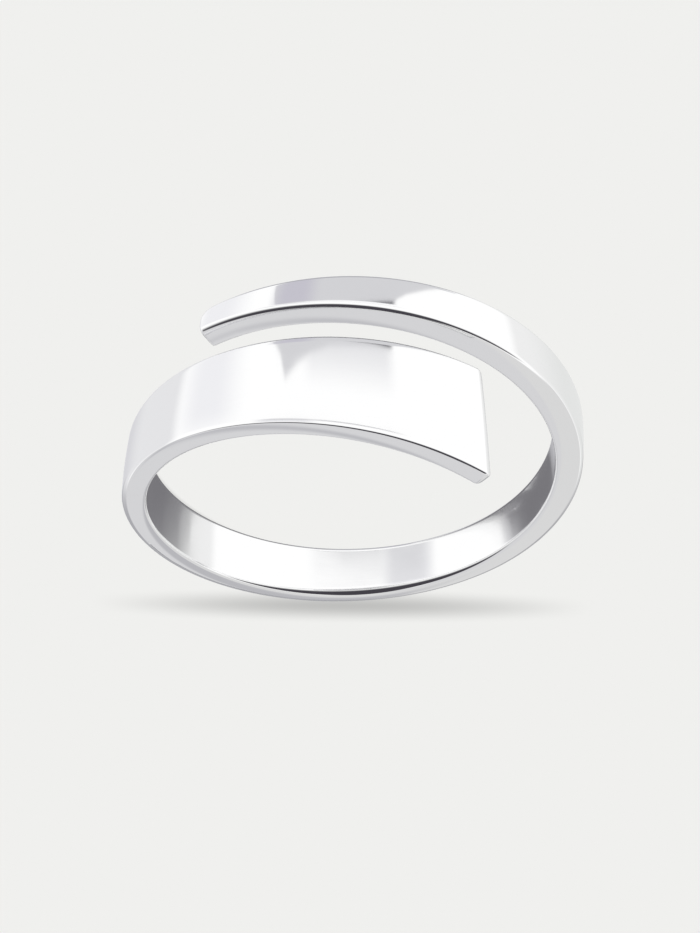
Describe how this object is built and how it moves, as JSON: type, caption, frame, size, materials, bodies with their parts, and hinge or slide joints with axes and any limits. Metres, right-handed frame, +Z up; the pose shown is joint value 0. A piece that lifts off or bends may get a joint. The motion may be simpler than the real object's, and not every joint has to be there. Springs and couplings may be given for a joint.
{
  "type": "twist ring",
  "caption": "Finger ring made of one polished silver strip bent once round the finger, with a broad end and a slim end that pass each other on the front.",
  "frame": {"origin": "middle of the bounding box, on the surface that the ring lies on", "axes": "+Z up from that surface, within 5 degrees of the finger's axis; -Y towards the front, where the two ends pass each other; +X towards the side on which the narrow end stops"},
  "size_m": [0.0196, 0.0198, 0.0083],
  "materials": {
    "polished_silver": "polished sterling silver, with fine wiping marks and softly worn edges"
  },
  "bodies": {
    "root": {"band": "polished_silver"}
  },
  "joints": []
}
